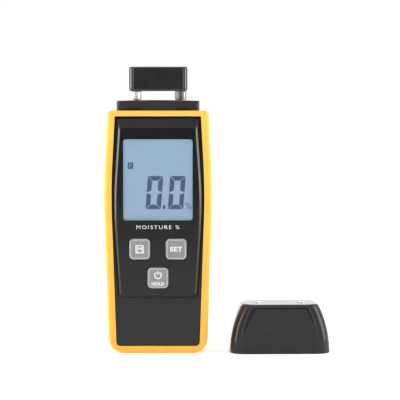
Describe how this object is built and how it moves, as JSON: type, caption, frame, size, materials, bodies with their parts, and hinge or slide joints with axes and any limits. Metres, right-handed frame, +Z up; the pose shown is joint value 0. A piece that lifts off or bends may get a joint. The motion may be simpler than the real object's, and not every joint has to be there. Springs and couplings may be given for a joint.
{
  "type": "pin moisture meter",
  "caption": "Handheld pin moisture meter in a waisted rubber bumper, with a display, push keys, measuring pins under a guard, a battery bay and a separate protective cap.",
  "frame": {"origin": "middle of the flat underside of the bumper, on the surface that the meter stands on", "axes": "+Z up along the meter's length, -Y out of the display face, +X to the right of someone facing the display"},
  "size_m": [0.1259, 0.0325, 0.1593],
  "materials": {
    "bumper_rubber": "soft matte",
    "shell_plastic": "fine texture",
    "head_plastic": "satin",
    "guard_plastic": "polished",
    "cap_plastic": "polished",
    "key_rubber": "satin",
    "window_plastic": "clear",
    "lcd_glass": "satin",
    "light_guide": "satin",
    "holder_plastic": "satin",
    "conductive_rubber": "matte",
    "silicone_sheet": "translucent matte",
    "circuit_board": "solder mask",
    "chip_epoxy": "matte",
    "resistor_ceramic": "matte",
    "can_metal": "satin",
    "nickel": "bright",
    "pin_steel": "polished",
    "brass_stud": "machined",
    "screw_steel": "blackened",
    "spring_steel": "plated",
    "cell_wrap": "printed film",
    "label_film": "satin film",
    "foam": "open cell",
    "lead_red": "satin",
    "lead_black": "satin"
  },
  "bodies": {
    "meter_body": {"bumper_frame": "bumper_rubber", "front_shell": "shell_plastic", "rear_shell": "shell_plastic", "case_screws": "screw_steel", "rating_label": "label_film", "display_window": "window_plastic", "lcd_glass": "lcd_glass", "lcd_backlight": "light_guide", "zebra_connector": "conductive_rubber", "lcd_holder": "holder_plastic", "keypad_sheet": "silicone_sheet", "main_board": "circuit_board", "board_screws": "screw_steel", "microcontroller": "chip_epoxy", "crystal_can": "can_metal", "left_capacitor": "can_metal", "right_capacitor": "can_metal", "chip_resistors": "resistor_ceramic", "battery_1": "cell_wrap", "battery_2": "cell_wrap", "battery_3": "cell_wrap", "battery_spring_1": "spring_steel", "battery_spring_2": "spring_steel", "battery_spring_3": "spring_steel", "upper_link_contact": "spring_steel", "lower_link_contact": "spring_steel", "negative_contact": "spring_steel", "positive_contact": "spring_steel", "head_block": "head_plastic", "left_electrode_stud": "brass_stud", "right_electrode_stud": "brass_stud", "left_pin": "pin_steel", "right_pin": "pin_steel", "left_probe_lead": "lead_black", "right_probe_lead": "lead_red", "negative_lead": "lead_black", "positive_lead": "lead_red"},
    "memory_key": {"memory_key": "key_rubber", "memory_key_contact": "conductive_rubber"},
    "set_key": {"set_key": "key_rubber", "set_key_contact": "conductive_rubber"},
    "hold_key": {"hold_key": "key_rubber", "hold_key_contact": "conductive_rubber"},
    "battery_door": {"battery_door": "shell_plastic", "door_foam_pad": "foam"},
    "left_pin_nut": {"left_pin_nut": "nickel"},
    "right_pin_nut": {"right_pin_nut": "nickel"},
    "pin_guard": {"pin_guard": "guard_plastic"},
    "cap": {"cap": "cap_plastic", "left_check_contact": "nickel", "right_check_contact": "nickel"}
  },
  "joints": [
    {"name": "memory_key_press", "type": "slide", "parent": "meter_body", "child": "memory_key", "axis": [0, 1, 0], "range_m": [0, 0.0008], "stiffness_N_per_m": 1500},
    {"name": "set_key_press", "type": "slide", "parent": "meter_body", "child": "set_key", "axis": [0, 1, 0], "range_m": [0, 0.0008], "stiffness_N_per_m": 1500},
    {"name": "hold_key_press", "type": "slide", "parent": "meter_body", "child": "hold_key", "axis": [0, 1, 0], "range_m": [0, 0.0008], "stiffness_N_per_m": 1500},
    {"name": "battery_door_open", "type": "hinge", "parent": "meter_body", "child": "battery_door", "pos_m": [0, 0.01265, 0.01625], "axis": [-1, 0, 0], "range_deg": [0, 90]},
    {"name": "left_nut_turn", "type": "hinge", "parent": "meter_body", "child": "left_pin_nut", "pos_m": [-0.0125, 0, 0.143], "axis": [0, 0, 1], "range_deg": [0, 360]},
    {"name": "right_nut_turn", "type": "hinge", "parent": "meter_body", "child": "right_pin_nut", "pos_m": [0.0125, 0, 0.143], "axis": [0, 0, 1], "range_deg": [0, 360]},
    {"name": "pin_guard_lift", "type": "slide", "parent": "meter_body", "child": "pin_guard", "axis": [0, 0, 1], "range_m": [0, 0.03]},
    {"name": "cap_lift", "type": "slide", "parent": "meter_body", "child": "cap", "axis": [0, 0, 1], "range_m": [0, 0.15]}
  ]
}
